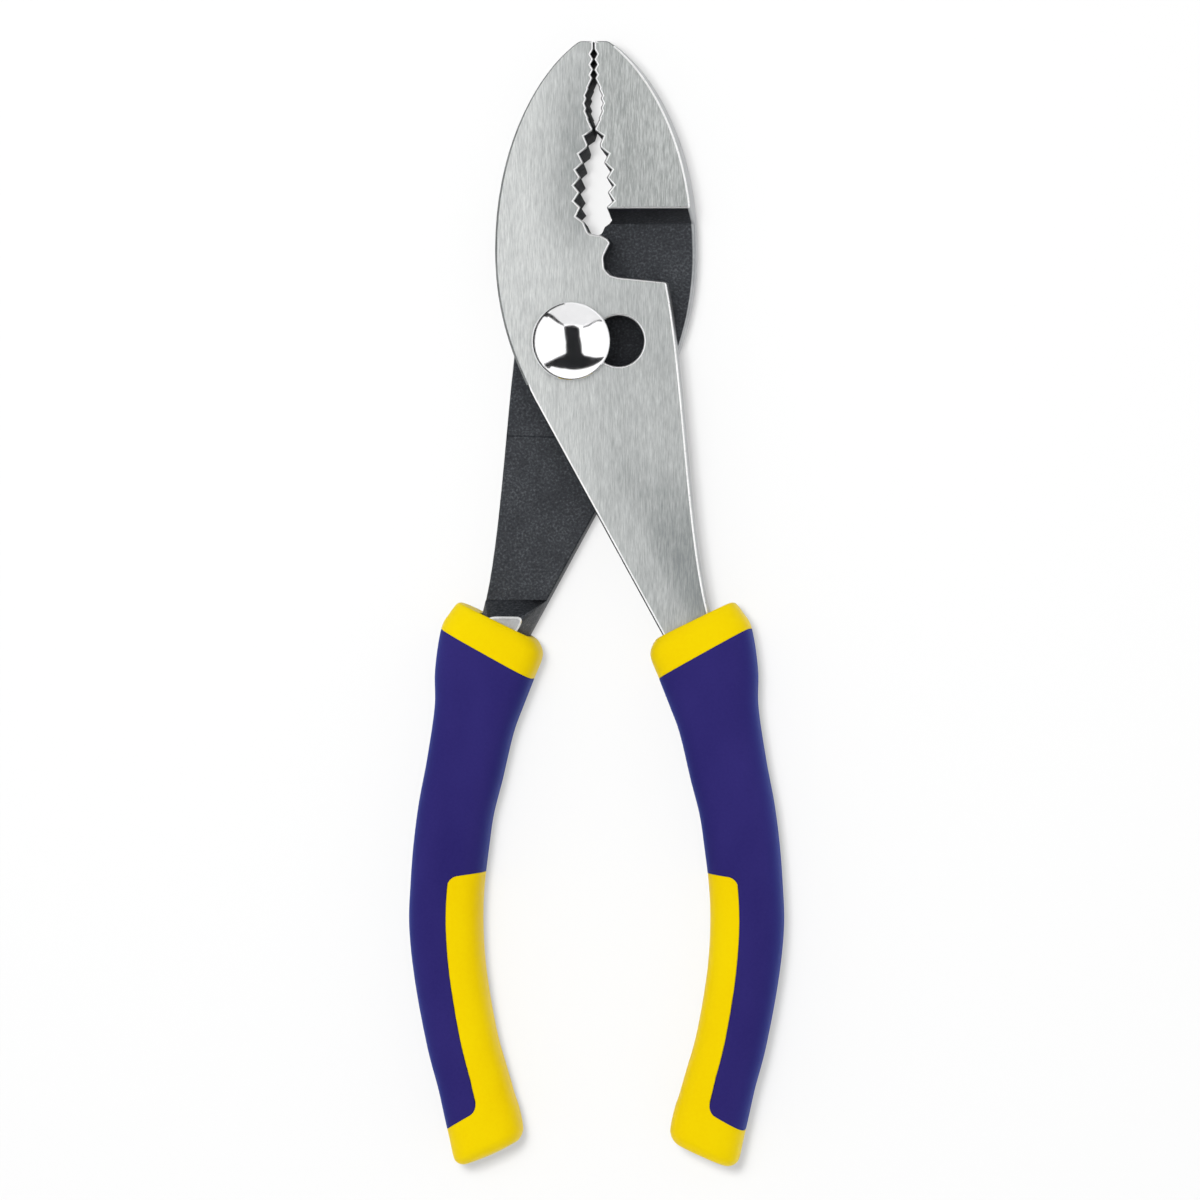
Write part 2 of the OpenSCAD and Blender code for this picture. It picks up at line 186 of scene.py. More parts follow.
def roughened(shader, grain, rough, change):
    """Roughness that follows a grain, by a change up and down."""
    link(spread(grain, rough - change, rough + change), shader.inputs["Roughness"])


def bumped(shader, height, strength, distance):
    node = add(height.id_data, "ShaderNodeBump", Strength=strength, Distance=distance)
    link(height, node.inputs["Height"])
    link(node.outputs["Normal"], shader.inputs["Normal"])


# Materials

TO_RIGHT, TO_TIPS, TO_HANDLES = (1, 0, 0), (0, 1, 0), (0, -1, 0)
ACROSS_TANG = (1, 0.53, 0)

# Scales of the grain along X, Y and Z
FINE_SCRATCHES, LONG_SCRATCHES, GROUND_CLOUDS = (5000, 420, 1500), (1300, 70, 400), (130, 60, 130)
STEEL_GRAIN, STEEL_CLOUDS = (2600, 2600, 700), (260, 260, 260)
OXIDE_GRAIN, OXIDE_CLOUDS = (2300, 2300, 2300), (300, 200, 300)
FLOW_MARKS, CHROME_HAZE = (70, 35, 70), (420, 420, 420)

BRUSHED_ROUGH = 0.68
# Tones of the front half's steel where its painted shade is 0 and 1, and the share the painted shade takes
UNSHADED_TONE, PAINTED_SHADE_TONE, PAINTED_SHADE_SHARE = 0.62, 0.30, 0.62
# The colour that the oxide's painted shade multiplies in
PAINTED_SHADE_TINT = (0.3, 0.3, 0.32, 1)
SLOT_SPOT = (9.2 * MM, 0, z_mid)


def jaw_and_tang_painted_shade(tree):
    """1 where painted shade darkens the front half: beside the teeth, and low and right on the tang."""
    upwards = across(tree, TO_TIPS, 8 * MM, 26 * MM)
    beside_teeth = joined("MULTIPLY", across(tree, TO_RIGHT, -9 * MM, 2 * MM), upwards)
    jaw = joined("MULTIPLY", beside_teeth, faded(across(tree, TO_TIPS, 36 * MM, 52 * MM), 0.75, 0.45))
    downwards = across(tree, TO_HANDLES, -6 * MM, 50 * MM)
    tang = joined("MULTIPLY", across(tree, ACROSS_TANG, -11 * MM, -1 * MM), downwards)
    low = faded(across(tree, TO_HANDLES, -4 * MM, 40 * MM), 0.0, 0.08)
    right = faded(across(tree, TO_RIGHT, -12 * MM, 16 * MM), 0.0, 0.43)
    return joined("MAXIMUM", joined("MAXIMUM", jaw, tang), joined("MAXIMUM", low, right))


def step_and_slot_painted_shade(tree):
    """Painted shade: 1 in the corner below the jaw's step, and half that where the slip slot lies over the
    lap.
    """
    step = across(tree, TO_TIPS, 20.6 * MM, 23.6 * MM)
    slot = near_spot(tree, SLOT_SPOT, 3.8 * MM, 6.5 * MM)
    return joined("MAXIMUM", step, faded(slot, 0.0, 0.5))


def brushed_steel(name, dark, light, painted_shade_of=None):
    """Steel ground along the tool: short fine scratches over a soft mottling, wide shine across them."""
    mat, tree, shader = start(name, Metallic=0.85, Anisotropic=0.6)
    fine = scaled_noise(tree, FINE_SCRATCHES, 3.0, 0.7)
    coarse = scaled_noise(tree, LONG_SCRATCHES, 2.0)
    cloud = scaled_noise(tree, GROUND_CLOUDS, 2.0)
    streak = blended(fine, coarse, 0.2)
    tone = blended(spread(streak, 0.0, 1.0, 0.17, 0.83), cloud, 0.2)
    # Painted shade: the tone is drawn towards a darker grey where the given shade is 1
    if painted_shade_of:
        tone = blended(tone, faded(painted_shade_of(tree), UNSHADED_TONE, PAINTED_SHADE_TONE), PAINTED_SHADE_SHARE)
    coloured(shader, tone, [(0.36, dark), (0.64, light)])
    roughened(shader, streak, BRUSHED_ROUGH, 0.06)
    turn = add(tree, "ShaderNodeTangent", direction_type="RADIAL", axis="Y")
    link(turn.outputs["Tangent"], shader.inputs["Tangent"])
    bumped(shader, fine, 0.25, 0.02 * MM)
    return mat


def plain_steel(name, dark, light, rough):
    """Ground or forged steel without a direction, slightly mottled."""
    mat, tree, shader = start(name, Metallic=1.0)
    grain = scaled_noise(tree, STEEL_GRAIN, 3.0)
    cloud = scaled_noise(tree, STEEL_CLOUDS, 2.0)
    coloured(shader, blended(grain, cloud, 0.5), [(0.35, dark), (0.65, light)])
    roughened(shader, grain, rough, 0.07)
    bumped(shader, grain, 0.2, 0.03 * MM)
    return mat


def dark_oxide(name, low, mid, high, dim=None, **sockets):
    """Blackened forging skin: near black and grainy, with worn bright specks, and darker with painted shade
    where dim is 1.
    """
    mat, tree, shader = start(name, **sockets)
    grain = scaled_noise(tree, OXIDE_GRAIN, 2.0, 0.6)
    cloud = scaled_noise(tree, OXIDE_CLOUDS, 3.0)
    colour = ramp(blended(grain, cloud, 0.25), [(0.34, low), (0.52, mid), (0.68, high)])
    # Painted shade: the colour is multiplied darker where the mask is 1
    if dim:
        painted_shade = add(tree, "ShaderNodeMix", data_type="RGBA", blend_type="MULTIPLY")
        painted_shade.inputs[COLOUR_B].default_value = PAINTED_SHADE_TINT
        link(dim(tree), painted_shade.inputs[MIX_SHARE])
        link(colour, painted_shade.inputs[COLOUR_A])
        colour = painted_shade.outputs[COLOUR_OUT]
    link(colour, shader.inputs["Base Color"])
    roughened(shader, cloud, 0.58, 0.08)
    bumped(shader, grain, 0.8, 0.12 * MM)
    return mat


def moulded(name, low, mid, high, rough, grain_scale, grain_depth, **sockets):
    """Moulded plastic: even colour with slight flow marks and a fine satin grain."""
    mat, tree, shader = start(name, **sockets)
    grain = scaled_noise(tree, (grain_scale,) * 3, 3.0, 0.6)
    flow = scaled_noise(tree, FLOW_MARKS, 2.0)
    coloured(shader, blended(flow, grain, 0.3), [(0.3, low), (0.5, mid), (0.7, high)])
    roughened(shader, grain, rough, 0.06)
    bumped(shader, grain, 0.3, grain_depth)
    return mat


def chrome(name):
    """Polished chrome with a slight haze."""
    mat, tree, shader = start(name, Metallic=1.0)
    haze = scaled_noise(tree, CHROME_HAZE, 5.0, 0.65)
    coloured(shader, haze, [(0.3, (0.86, 0.86, 0.87)), (0.7, (0.93, 0.93, 0.94))])
    roughened(shader, haze, 0.105, 0.025)
    bumped(shader, haze, 0.2, 0.03 * MM)
    return mat


# The front half's steel carries painted shade beside the teeth and low and right on the tang
steel_front = brushed_steel(
    "steel_brushed_front", (0.35, 0.372, 0.372), (0.90, 0.915, 0.905), jaw_and_tang_painted_shade)
steel_rear = brushed_steel("steel_brushed_rear", (0.42, 0.44, 0.435), (0.725, 0.745, 0.735))
steel_side = plain_steel("steel_side", (0.30, 0.31, 0.32), (0.44, 0.45, 0.46), 0.42)
# Painted highlight: a near-white steel for the rims of the broad faces and round the hollows
steel_painted_highlight = plain_steel("steel_painted_highlight", (0.80, 0.805, 0.805), (0.98, 0.98, 0.98), 0.34)
steel_polished = plain_steel("steel_polished", (0.62, 0.63, 0.64), (0.78, 0.79, 0.80), 0.5)
# The lap's oxide carries painted shade below the jaw's step and under the slip slot
oxide = dark_oxide(
    "steel_oxide", (0.029, 0.0315, 0.037), (0.052, 0.0565, 0.065), (0.115, 0.124, 0.135),
    step_and_slot_painted_shade, Metallic=0.55)
# Blackened oxide darkened further with painted shade, for the tooth walls, the slip slot, the crease and the
# tang end's slope
oxide_painted_shade = dark_oxide(
    "steel_oxide_deep", (0.016, 0.018, 0.021), (0.032, 0.035, 0.040), (0.060, 0.065, 0.073),
    Metallic=0.0, Specular_IOR_Level=0.04)
# Painted shade: a dark steel for the rims at the jaw's left and the tips
steel_painted_rim_shade = plain_steel("steel_painted_rim_shade", (0.17, 0.18, 0.18), (0.32, 0.335, 0.335), 0.5)
nut_steel = plain_steel("steel_nut", (0.52, 0.53, 0.54), (0.66, 0.67, 0.68), 0.32)
bolt_chrome = chrome("chrome_polished")
yellow = moulded(
    "plastic_yellow", (0.86, 0.60, 0.001), (0.885, 0.645, 0.0012), (0.905, 0.68, 0.0015),
    rough=0.45, grain_scale=1500, grain_depth=0.02 * MM,
    Specular_IOR_Level=0.06, Specular_Tint=(1.0, 0.75, 0.05, 1.0))
blue = moulded(
    "rubber_blue", (0.021, 0.0145, 0.128), (0.0268, 0.0192, 0.148), (0.032, 0.0235, 0.168),
    rough=0.55, grain_scale=2400, grain_depth=0.04 * MM,
    Specular_IOR_Level=0.03, Sheen_Weight=0.4, Sheen_Roughness=0.5, Sheen_Tint=(0.02, 0.14, 0.62, 1.0))


# Mesh helpers

def shaded(mesh, sharp):
    """Smooth shading, broken at edges sharper than an angle in degrees."""
    for face in mesh.polygons:
        face.use_smooth = True
    mesh.set_sharp_from_angle(angle=radians(sharp))


def make_object(name, bm, materials, sharp=35.0):
    mesh = bpy.data.meshes.new(name)
    bm.to_mesh(mesh)
    bm.free()
    for mat in materials:
        mesh.materials.append(mat)
    shaded(mesh, sharp)
    obj = bpy.data.objects.new(name, mesh)
    scene.collection.objects.link(obj)
    return obj


def modified(obj, name, kind, **values):
    mod = obj.modifiers.new(name, kind)
    for key, value in values.items():
        setattr(mod, key, value)


def applied(obj, sharp):
    """Turns the object's modifiers into plain mesh."""
    mesh = bpy.data.meshes.new_from_object(obj.evaluated_get(bpy.context.evaluated_depsgraph_get()))
    obj.modifiers.clear()
    obj.data = mesh
    shaded(mesh, sharp)
    return obj


def placed(obj, body, slot, *nodes):
    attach(obj, body)
    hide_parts(*nodes)


def bevelled(bm, edges, width, segments):
    bmesh.ops.bevel(
        bm, geom=edges, offset=width, segments=segments, profile=0.5, affect="EDGES", clamp_overlap=True)


def without_repeats(corners):
    return list(dict.fromkeys(corners))


# Steel halves. In these functions, up is 1 or -1 as the faces at hand look along +Z or -Z.

# Finishes of a half's faces. The bright rim finish is a painted highlight, the dark rim finish is painted
# shade, and the deep finish is blackened oxide darkened with painted shade
FACE, SIDE, EDGE, DARK, POLISHED, DEEP, RIM_SHADE = range(7)

WELD = 0.04 * MM
FLAT_TURN = 0.4  # degrees between faces that count as one
SPIKE_ANGLE = 0.002  # radians at the tip of a spike of no width
FLAT = 0.999  # least share of its normal along Z that makes a face flat
LEVEL = 0.02 * MM  # how near a height a face at it lies
SHORTEST = 0.02 * MM  # edges of an inset outline below this shrink to a point

# Places on the halves, from the pivot, and reaches to both sides of the tool's middle
MOUTH_LOW, MOUTH_REACH = 13 * MM, 4.5 * MM
TEETH_LOW, TEETH_HIGH, TEETH_REACH = 21 * MM, 53.5 * MM, 5 * MM
HOLES_LEFT, HOLES_RIGHT, HOLES_HIGH = -5 * MM, 13.5 * MM, 5 * MM
STEP_LOW, LAP_HIGH, WORN_LOW = 15 * MM, 20 * MM, -6 * MM
TIPS_LOW, FADE_LOW, FADE_RUN = 50 * MM, 30 * MM, 22 * MM
TANG_TOP, CREASE_Y, RAISED_TOP = -8 * MM, -17.3 * MM, -20 * MM

# Sizes of the wear
OUTLINE_ROUND = 0.35 * MM
RAISED_ROUND = 1.9 * MM
STEP_WEAR = 0.5 * MM
MOST_DROP = 0.4 * MM
RIM_WIDTH, PLAIN_WIDTH, TANG_WIDTH, LAP_WIDTH = 0.4 * MM, 0.36 * MM, 0.56 * MM, 0.24 * MM
OUTER_SHARE, RIM_SHADE_SHARE = 0.42, 0.68  # of an edge's width, the part of its outer row
CREASE_HALF, CREASE_DEPTH, CREASE_WAY = 0.16 * MM, 0.14 * MM, (0.03, 1, 0)
CREASE_AREA, SLOPE_AREA = 10e-6, 4e-6  # in square metres: most of a crease's face, least of a slope


def solid_copy(node):
    """The node's solid with its flat faces whole."""
    bm = bmesh.new()
    bm.from_mesh(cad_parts[node].data)
    bmesh.ops.remove_doubles(bm, verts=bm.verts, dist=WELD)
    bmesh.ops.dissolve_limit(
        bm, angle_limit=radians(FLAT_TURN), use_dissolve_boundaries=False,
        verts=bm.verts, edges=bm.edges, delimit=set())
    cut_spikes(bm)
    bm.normal_update()
    return bm


def cut_spikes(bm):
    """Where a face runs out into a spike of no width, the wall beside it takes the spike's edge."""
    for f in list(bm.faces):
        for loop in f.loops if f.is_valid else ():
            tip = loop.vert
            sides = [loop.link_loop_prev.vert, loop.link_loop_next.vert]
            close, far = sorted(sides, key=lambda v: (v.co - tip.co).length)
            if (close.co - tip.co).angle(far.co - tip.co) > SPIKE_ANGLE:
                continue
            wall = [g for e in tip.link_edges if far in e.verts for g in e.link_faces if g != f][0]
            ring = list(wall.verts)
            at = ring.index(tip)
            ring.insert(at + 1 if ring[(at + 1) % len(ring)] == far else at, close)
            bm.faces.new([v for v in f.verts if v != tip])
            bm.faces.new(ring)
            bmesh.ops.delete(bm, geom=[f, wall], context="FACES")
            break


def flat_faces(bm, height, up):
    return [f for f in bm.faces if f.normal.z * up > FLAT and abs(f.calc_center_median().z - height) < LEVEL]


def round_corners(bm):
    """Rounds the upright corners of the outline, except at the teeth."""
    picked = []
    for e in bm.edges:
        a, b = (v.co for v in e.verts)
        if abs(a.z - b.z) < 1.0 * MM or (a - b).xy.length > 0.1 * MM or len(e.link_faces) != 2:
            continue
        turn = degrees(e.calc_face_angle(0))
        middle = (a + b) / 2
        at_teeth = TEETH_LOW < middle.y < TEETH_HIGH and abs(middle.x - centre_x) < TEETH_REACH
        if 14 < turn < 110 and not at_teeth:
            picked.append(e)
    for e in picked:
        if e.is_valid:
            bevelled(bm, [e], OUTLINE_ROUND, 3)
    bm.normal_update()


def round_raised(bm, height, up):
    """Rounds the two upper corners of the raised tang end, above the grip, down to a point at the lap."""
    steps = 6
    for _ in range(2):
        top = [f for f in flat_faces(bm, height, up) if f.calc_center_median().y < RAISED_TOP][0]
        peak = max(v.co.y for v in top.verts)
        for loop in top.loops:
            corner = loop.vert
            before, after = loop.link_loop_prev.vert, loop.link_loop_next.vert
            ends = [before.co - corner.co, after.co - corner.co]
            hips = [e for e in corner.link_edges if e.other_vert(corner) not in (before, after)]
            if corner.co.y > peak - 0.01 * MM and ends[0].angle(ends[1]) < 2.4 and len(hips) == 1:
                break
        foot = hips[0].other_vert(corner)
        first, last = (corner.co + way.normalized() * min(RAISED_ROUND, 0.45 * way.length) for way in ends)
        points = []
        for k in range(steps + 1):
            t = k / steps
            points.append(bm.verts.new((1 - t) ** 2 * first + 2 * t * (1 - t) * corner.co + t ** 2 * last))
        for f in list(corner.link_faces):
            put = points if f == top else points[:1] if before in f.verts else points[-1:]
            bm.faces.new([p for v in f.verts for p in (put if v == corner else [v])])
        for p, q in zip(points, points[1:]):
            bm.faces.new((foot, q, p))
        bmesh.ops.delete(bm, geom=[corner], context="VERTS")
    bmesh.ops.recalc_face_normals(bm, faces=bm.faces)


def wear_step(bm, up):
    """Breaks the edge between the step below the jaw and the jaw's back."""
    worn = []
    for e in bm.edges:
        if len(e.link_faces) != 2:
            continue
        middle = (e.verts[0].co + e.verts[1].co) / 2
        for wall, slope in (e.link_faces, reversed(e.link_faces)):
            is_back = abs(wall.normal.z) < 0.02 and up * wall.normal.x > 0.5
            if is_back and 0.2 < up * slope.normal.z < 0.95 and middle.y > STEP_LOW:
                worn.append(e)
    bevelled(bm, worn, STEP_WEAR, 2)
    bm.normal_update()


def inset_loop(points, widths, up):
    """A closed outline, each edge moved inwards by its width. Edges too short for it shrink to a point."""
    count = len(points)
    ways = [(points[(i + 1) % count] - points[i]).normalized() for i in range(count)]
    moves = [Vector((-way.y, way.x)) * up * width for way, width in zip(ways, widths)]
    alive = list(range(count))

    def meet(i, j):
        """Where two moved edges meet, or halfway between their ends if that is far off."""
        a, b = points[(i + 1) % count] + moves[i], points[j] + moves[j]
        turn = ways[i].cross(ways[j])
        if abs(turn) > 0.05:
            spot = a + ways[i] * ((b - a).cross(ways[j]) / turn)
            if (spot - (a + b) / 2).length < 3 * max(widths[i], widths[j]) + 1e-7:
                return spot
        return (a + b) / 2

    while True:
        corners = [meet(alive[k - 1], alive[k]) for k in range(len(alive))]
        lengths = [(corners[k + 1 - len(alive)] - corners[k]).dot(ways[i]) for k, i in enumerate(alive)]
        worst = min(range(len(alive)), key=lengths.__getitem__)
        if lengths[worst] > SHORTEST or len(alive) < 4:
            break
        del alive[worst]
    moved = [None] * count
    for k, last in enumerate(alive):
        i = alive[k - 1]
        while i != last:
            i = (i + 1) % count
            moved[i] = corners[k]
    return moved


def ease(bm, height, up, rule):
    """Rounds the border of the flat faces at one height with two rows. From an edge's middle, its way out and
    its wall's finish, the rule gives its width, the finishes of the outer and inner row and the outer row's
    share of the width. An edge with a rising wall stays."""
    flat = flat_faces(bm, height, up)
    inside = set(flat)
    after, rows = {}, {}
    for f in flat:
        for loop in f.loops:
            others = [g for g in loop.edge.link_faces if g not in inside]
            if others:
                a, b = loop.vert, loop.link_loop_next.vert
                after[a] = b
                way = (b.co - a.co).normalized()
                out = Vector((way.y, -way.x)) * up
                rising = (others[0].calc_center_median().z - height) * up > 0
                rows[a] = (0.0, 0, 0, 0) if rising else rule((a.co + b.co) / 2, out, others[0].material_index)

    # New corners between the rows and inside them, one outline at a time
    mid, inner, drops = {}, {}, {}
    left = dict.fromkeys(after)
    while left:
        v = next(iter(left))
        outline = []
        while v in left:
            del left[v]
            outline.append(v)
            v = after[v]
        widths = [rows[v][0] for v in outline]
        made = {}
        for k, spot in enumerate(inset_loop([v.co.xy for v in outline], widths, up)):
            v, drop = outline[k], max(widths[k - 1], widths[k])
            if drop == 0:
                mid[v] = inner[v] = v
                continue
            spot = Vector((spot.x, spot.y, v.co.z))
            key = spot.to_tuple(9)
            if key not in made:
                made[key] = bm.verts.new(spot)
            inner[v] = made[key]
            share = max(rows[outline[k - 1]][3], rows[v][3])
            sag = min(drop, MOST_DROP) * (0.8 - share) ** 2 * 2.2
            mid[v] = bm.verts.new(v.co + (spot - v.co) * share + Vector((0, 0, -up * sag)))
            drops[v] = drop
    for v, drop in drops.items():
        v.co.z -= up * min(drop, MOST_DROP)

    for f in flat:
        corners = without_repeats([inner.get(v, v) for v in f.verts])
        if len(corners) > 2:
            bm.faces.new(corners).material_index = f.material_index
    for a, b in after.items():
        width, outer_row, inner_row, _ = rows[a]
        strips = [((a, b, mid[b], mid[a]), outer_row), ((mid[a], mid[b], inner[b], inner[a]), inner_row)]
        if width == 0:
            strips = [((a, b, mid[b], inner[b], inner[a], mid[a]), DARK)]
        for corners, index in strips:
            corners = without_repeats(corners)
            if len(corners) > 2:
                bm.faces.new(corners).material_index = index
    bmesh.ops.delete(bm, geom=flat, context="FACES_ONLY")
    bm.normal_update()


def broad_edge(middle, out, wall):
    """Edges of the broad faces: a painted highlight at the teeth, the holes and the right, painted shade at
    the tang's left, and grey painted shade at the jaw's left and the tips, finer towards the tips."""
    looks_left, looks_up = out.x < -0.25, out.y > 0.8
    if wall == DEEP:
        return RIM_WIDTH, EDGE, EDGE, OUTER_SHARE
    if looks_left and middle.y < TANG_TOP:
        return TANG_WIDTH, DEEP, EDGE, OUTER_SHARE
    if looks_left or (looks_up and middle.y > TIPS_LOW):
        fade = max(0.0, min(1.0, (middle.y - FADE_LOW) / FADE_RUN))
        return (0.6 - 0.35 * fade) * MM, RIM_SHADE, FACE, RIM_SHADE_SHARE
    return RIM_WIDTH if looks_up else PLAIN_WIDTH, EDGE, EDGE, OUTER_SHARE


def lap_edge(up):
    """The rule for a lap's edges: oxide, but a band worn bright along the jaw's back, wider upwards."""
    def rule(middle, out, wall):
        if middle.y > WORN_LOW and up * out.x > 0.3 and wall == SIDE:
            return (0.35 + 0.25 * middle.y / FADE_RUN) * MM, SIDE, SIDE, OUTER_SHARE
        return LAP_WIDTH, wall, DARK, OUTER_SHARE
    return rule


def crease(bm, height, up):
    """A shallow forging line across the lap, above the handle."""
    for k in (-1, 0, 1):
        flat = [f for f in flat_faces(bm, height, up) if f.calc_center_median().y < LAP_HIGH]
        geom = set(flat)
        for f in flat:
            geom.update(f.edges)
            geom.update(f.verts)
        cut = bmesh.ops.bisect_plane(
            bm, geom=[g for g in list(bm.verts) + list(bm.edges) + list(bm.faces) if g in geom],
            plane_co=(0, CREASE_Y + k * CREASE_HALF, 0), plane_no=CREASE_WAY, dist=1e-7)
        if k == 0:
            bottom = [g for g in cut["geom_cut"] if isinstance(g, bmesh.types.BMVert)]
    # The groove's small faces take the deep finish, oxide darkened with painted shade
    for v in bottom:
        v.co.z -= up * CREASE_DEPTH
        for f in v.link_faces:
            if f.calc_area() < CREASE_AREA:
                f.material_index = DEEP
    bm.normal_update()


def finish_of(f, up, outer_z, jaw_z, lap_z):
    """The finish of a half's face, from where it lies and where it looks."""
    middle = f.calc_center_median()
    slant = abs(f.normal.z)
    if slant > FLAT:
        if abs(middle.z - lap_z) < LEVEL:
            return DARK
        if abs(middle.z - outer_z) < LEVEL:
            return FACE
        if abs(middle.z - jaw_z) < LEVEL:
            return FACE if middle.y > 0 else POLISHED
        return SIDE
    # Walls facing into the mouth, the tang end's slopes and the slip slot's walls take the deep finish: oxide
    # darkened with painted shade
    in_mouth = middle.y > MOUTH_LOW and abs(middle.x - centre_x) < MOUTH_REACH
    if in_mouth and up * f.normal.x > 0.1 and slant < 0.2:
        return DEEP
    if 0.05 < slant < 0.98 and (f.calc_area() > SLOPE_AREA or middle.y < RAISED_TOP):
        return DEEP if middle.y < 0 and abs(f.normal.y) > 0.6 else DARK
    if abs(middle.y) < HOLES_HIGH and HOLES_LEFT < middle.x < HOLES_RIGHT:
        return DEEP
    return DARK if middle.y < TANG_TOP and up < 0 else SIDE


def half(name, node, up, face_steel):
    """A steel half with worn edges. Its broad face looks up, its jaw's other face and its lap look down."""
    bm = solid_copy(node)
    outer_z, jaw_z = (z_front, z_back) if up > 0 else (z_back, z_front)
    round_corners(bm)
    round_raised(bm, jaw_z, -up)
    wear_step(bm, -up)
    inner_heights = (f.calc_center_median().z for f in bm.faces if f.normal.z * up < -FLAT)
    lap_z = min(inner_heights, key=lambda z: abs(z - z_mid))
    for f in bm.faces:
        f.material_index = finish_of(f, up, outer_z, jaw_z, lap_z)
    ease(bm, outer_z, up, broad_edge)
    ease(bm, jaw_z, -up, broad_edge)
    ease(bm, lap_z, -up, lap_edge(-up))
    crease(bm, lap_z, -up)
    bmesh.ops.delete(bm, geom=[e for e in bm.edges if not e.link_faces], context="EDGES")
    # The rims' bright and dark finishes are a painted highlight and painted shade
    finishes = [face_steel, steel_side, steel_painted_highlight, oxide, steel_polished, oxide_painted_shade, steel_painted_rim_shade]
    obj = make_object(name, bm, finishes, 50)
    # Large faces shade flat, and the worn edges carry the curve
    modified(obj, "weighted", "WEIGHTED_NORMAL", keep_sharp=True, weight=80)
    return obj


front = half("front_half_steel", "front_half", 1, steel_front)
placed(front, "front", "front_steel", "front_half")
rear = half("rear_half_steel", "rear_half", -1, steel_rear)
placed(rear, "rear", "rear_steel", "rear_half")


# Pivot bolt and nut

HEAD_STEPS, JOURNAL_STEPS, NUT_STEPS = 96, 64, 144
RIM_H, RIM_ROUND, HEAD_FOOT, SEAT_R = 0.6 * MM, 0.22 * MM, 0.15 * MM, 4.2 * MM
SHANK_R, FLAT_Y = 4.45 * MM, 2.6 * MM
JOURNAL_R, THREAD_R, THREAD_CHAMFER = 3.7 * MM, 3.0 * MM, 0.4 * MM
BORE_R, BORE_CHAMFER, BACK_CHAMFER, NUT_EDGE = 3.02 * MM, 0.4 * MM, 0.35 * MM, 0.12 * MM
FACE_SHARE, CHAMFER_ANGLE = 0.94, 28

head_r = (bolt_hi.x - bolt_lo.x) / 2
seat_z = z_front + 0.05 * MM
dome_h = bolt_hi.z - seat_z - RIM_H
dome_r = (head_r ** 2 + dome_h ** 2) / (2 * dome_h)


def arc(cx, cy, radius, first, last, steps):
    """Points of a circle's arc between two angles in degrees."""
    turns = [radians(first + (last - first) * i / steps) for i in range(steps + 1)]
    return [(cx + radius * cos(turn), cy + radius * sin(turn)) for turn in turns]


def turned_profile(bm, profile, steps):
    """Faces of a profile of (radius, height) turned about the Z axis."""
    turns = [2 * pi * i / steps for i in range(steps)]
    rings = []
    for radius, height in profile:
        if radius < 1e-9:
            rings.append([bm.verts.new((0, 0, height))])
        else:
            rings.append([bm.verts.new((radius * cos(t), radius * sin(t), height)) for t in turns])
    for a, b in zip(rings, rings[1:]):
        for i in range(steps):
            j = (i + 1) % steps
            corners = [a[i % len(a)], a[j % len(a)], b[j % len(b)], b[i % len(b)]]
            bm.faces.new(without_repeats(corners))


def bolt_mesh():
    """A domed head, a flatted shank, a round journal and a chamfered end with a centre mark."""
    bm = bmesh.new()
    rim_r = head_r - RIM_ROUND
    rim_angle = degrees(acos(rim_r / dome_r))
    profile = [(0.0, bolt_hi.z)] + arc(0, bolt_hi.z - dome_r, dome_r, 88.5, rim_angle, 22)
    profile += arc(rim_r, seat_z + RIM_H - 0.6 * RIM_ROUND, RIM_ROUND, 40, 0, 3)
    profile += [(head_r, seat_z + HEAD_FOOT), (head_r - HEAD_FOOT, seat_z), (SEAT_R, seat_z)]
    turned_profile(bm, profile, HEAD_STEPS)

    reach = degrees(asin(FLAT_Y / SHANK_R))
    outline = [spot for side in (0, 180) for spot in arc(0, 0, SHANK_R, side - reach, side + reach, 12)]
    low, high = ([bm.verts.new((x, y, z)) for x, y in outline] for z in (z_mid, seat_z))
    for i in range(len(outline)):
        j = (i + 1) % len(outline)
        bm.faces.new((low[i], low[j], high[j], high[i]))
    bm.faces.new(list(reversed(low)))

    end = bolt_lo.z
    turned_profile(bm, [
        (JOURNAL_R, z_mid), (JOURNAL_R, z_back), (THREAD_R, z_back),
        (THREAD_R, end + THREAD_CHAMFER), (THREAD_R - THREAD_CHAMFER, end),
        (0.9 * MM, end), (0.5 * MM, end + 0.35 * MM), (0.0, end + 0.5 * MM)], JOURNAL_STEPS)
    bmesh.ops.recalc_face_normals(bm, faces=bm.faces)
    return bm


def nut_mesh():
    """A hexagon nut with a chamfered outer face and a chamfered bore."""
    bm = bmesh.new()
    half_w = (nut_hi.y - nut_lo.y) / 2
    height = nut_hi.z - nut_lo.z
    face_r = FACE_SHARE * half_w
    slope = tan(radians(CHAMFER_ANGLE))
    loops = []
    for i in range(NUT_STEPS):
        turn = 360 * i / NUT_STEPS
        side_r = half_w / cos(radians(turn % 60 - 30))
        low = max(0.0, (side_r - face_r) * slope)
        c, s = cos(radians(turn)), sin(radians(turn))
        points = [
            (BORE_R, height - BACK_CHAMFER), (BORE_R, BORE_CHAMFER), (BORE_R + BORE_CHAMFER, 0.0),
            (face_r, 0.0), (side_r, low), (side_r, height - NUT_EDGE), (side_r - NUT_EDGE, height),
            (BORE_R + BACK_CHAMFER, height)]
        loops.append([bm.verts.new((r * c, r * s, nut_lo.z + z)) for r, z in points])
    for a, b in zip(loops, loops[1:] + loops[:1]):
        for k in range(len(a)):
            m = (k + 1) % len(a)
            bm.faces.new((a[k], a[m], b[m], b[k]))
    bmesh.ops.recalc_face_normals(bm, faces=bm.faces)
    return bm


